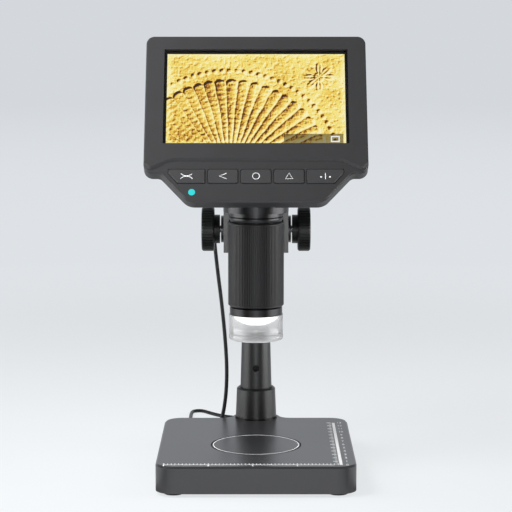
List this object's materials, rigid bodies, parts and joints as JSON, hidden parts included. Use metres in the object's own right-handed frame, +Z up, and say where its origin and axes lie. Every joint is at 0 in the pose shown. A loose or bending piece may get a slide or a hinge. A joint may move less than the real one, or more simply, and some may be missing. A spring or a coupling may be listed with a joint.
{
  "type": "digital microscope with display",
  "caption": "Desk digital microscope: tilted display housing with push buttons on a vertical barrel, focus block with knobs on a toothed rail, column and flat base with stage.",
  "frame": {"origin": "on the floor, at the middle of the footprint of everything but the lead", "axes": "+Z up, +X to the right as seen by the user, +Y from the user towards the column"},
  "size_m": [0.1178, 0.2118, 0.2352],
  "materials": {
    "base_coat": "satin dark grey powder coat",
    "post_coat": "satin black paint",
    "ring_coat": "satin mid grey anodised look",
    "stage_coat": "matt dark grey",
    "steel": "ground",
    "zinc": "zinc plated",
    "brass": "turned",
    "housing_plastic": "fine texture, dark grey",
    "key_plastic": "fine texture, dark grey",
    "barrel_coat": "satin black",
    "grip_plastic": "fluted, black",
    "knob_plastic": "ribbed, black",
    "clear_plastic": "clear acrylic",
    "diffuser_plastic": "white, translucent",
    "window_glass": "clear, over the display",
    "display_face": "lit display",
    "board": "green circuit board",
    "battery_wrap": "silver wrap",
    "lens_glass": "polished, coated",
    "sensor_face": "glossy",
    "lamp_face": "small lamp chips",
    "light_pipe": "translucent cyan",
    "rubber": "black",
    "cord_rubber": "smooth black sheath",
    "plug_plastic": "moulded black"
  },
  "bodies": {
    "stand": {"base_plate": "base_coat", "base_cover": "base_coat", "ballast_plate": "steel", "rubber_feet": "rubber", "base_screws": "zinc", "stage_insert": "stage_coat", "column_sleeve": "post_coat", "sleeve_ring": "ring_coat", "column_post": "post_coat", "column_bolt": "zinc", "post_set_screw": "zinc", "rail_rod": "steel", "focus_rack": "steel", "rail_cap": "knob_plastic", "cord_hang": "cord_rubber", "cord_floor": "cord_rubber", "cord_coil": "cord_rubber", "cord_plug": "plug_plastic"},
    "carriage": {"focus_block": "housing_plastic", "rail_clamp": "housing_plastic", "clamp_screws": "zinc", "rail_liner": "diffuser_plastic", "pinion_bushings": "brass", "holder_ring": "ring_coat", "holder_screws": "zinc", "barrel_tube": "barrel_coat", "barrel_collar": "ring_coat", "front_ring": "barrel_coat", "clear_shroud": "clear_plastic", "lamp_board": "board", "lamp_chips": "lamp_face", "light_diffuser": "diffuser_plastic", "sensor_board": "board", "image_sensor": "sensor_face", "front_housing": "housing_plastic", "rear_housing": "housing_plastic", "display_window": "window_glass", "display_panel": "display_face", "main_board": "board", "battery": "battery_wrap", "button_board": "board", "tact_switches": "plug_plastic", "indicator_pipe": "light_pipe", "housing_screws": "zinc", "power_socket": "steel", "card_reader": "steel", "device_plug": "plug_plastic"},
    "focus_knobs": {"pinion_shaft": "steel", "left_knob": "knob_plastic", "right_knob": "knob_plastic", "knob_screws": "zinc"},
    "focus_ring": {"focus_grip": "grip_plastic"},
    "lens_group": {"lens_cell": "barrel_coat", "front_lens": "lens_glass", "rear_lens": "lens_glass"},
    "menu_key": {"menu_button": "key_plastic"},
    "back_key": {"back_button": "key_plastic"},
    "record_key": {"record_button": "key_plastic"},
    "up_key": {"up_button": "key_plastic"},
    "power_key": {"power_button": "key_plastic"}
  },
  "joints": [
    {"name": "focus_slide", "type": "slide", "parent": "stand", "child": "carriage", "axis": [0, 0, 1], "range_m": [-0.05, 0.045], "deforming": ["cord_hang"]},
    {"name": "knob_turn", "type": "hinge", "parent": "carriage", "child": "focus_knobs", "pos_m": [0, 0.04265, 0.1269], "axis": [1, 0, 0], "range_deg": [-403.5, 448.5]},
    {"name": "grip_turn", "type": "hinge", "parent": "carriage", "child": "focus_ring", "pos_m": [0, -0.01705, 0.115], "axis": [0, 0, 1], "range_deg": [-150.6, 150.6]},
    {"name": "lens_slide", "type": "slide", "parent": "carriage", "child": "lens_group", "axis": [0, 0, 1], "range_m": [-0.0025, 0.0025]},
    {"name": "menu_press", "type": "slide", "parent": "carriage", "child": "menu_key", "axis": [0, 0.866, -0.5], "range_m": [0, 0.0005], "stiffness_N_per_m": 1500, "springref_m": -0.0003},
    {"name": "back_press", "type": "slide", "parent": "carriage", "child": "back_key", "axis": [0, 0.866, -0.5], "range_m": [0, 0.0005], "stiffness_N_per_m": 1500, "springref_m": -0.0003},
    {"name": "record_press", "type": "slide", "parent": "carriage", "child": "record_key", "axis": [0, 0.866, -0.5], "range_m": [0, 0.0005], "stiffness_N_per_m": 1500, "springref_m": -0.0003},
    {"name": "up_press", "type": "slide", "parent": "carriage", "child": "up_key", "axis": [0, 0.866, -0.5], "range_m": [0, 0.0005], "stiffness_N_per_m": 1500, "springref_m": -0.0003},
    {"name": "power_press", "type": "slide", "parent": "carriage", "child": "power_key", "axis": [0, 0.866, -0.5], "range_m": [0, 0.0005], "stiffness_N_per_m": 1500, "springref_m": -0.0003}
  ],
  "couplings": [
    {"joint": "knob_turn", "follows": "focus_slide", "rad_per_m": -156.25},
    {"joint": "grip_turn", "follows": "lens_slide", "rad_per_m": 1047.2}
  ]
}
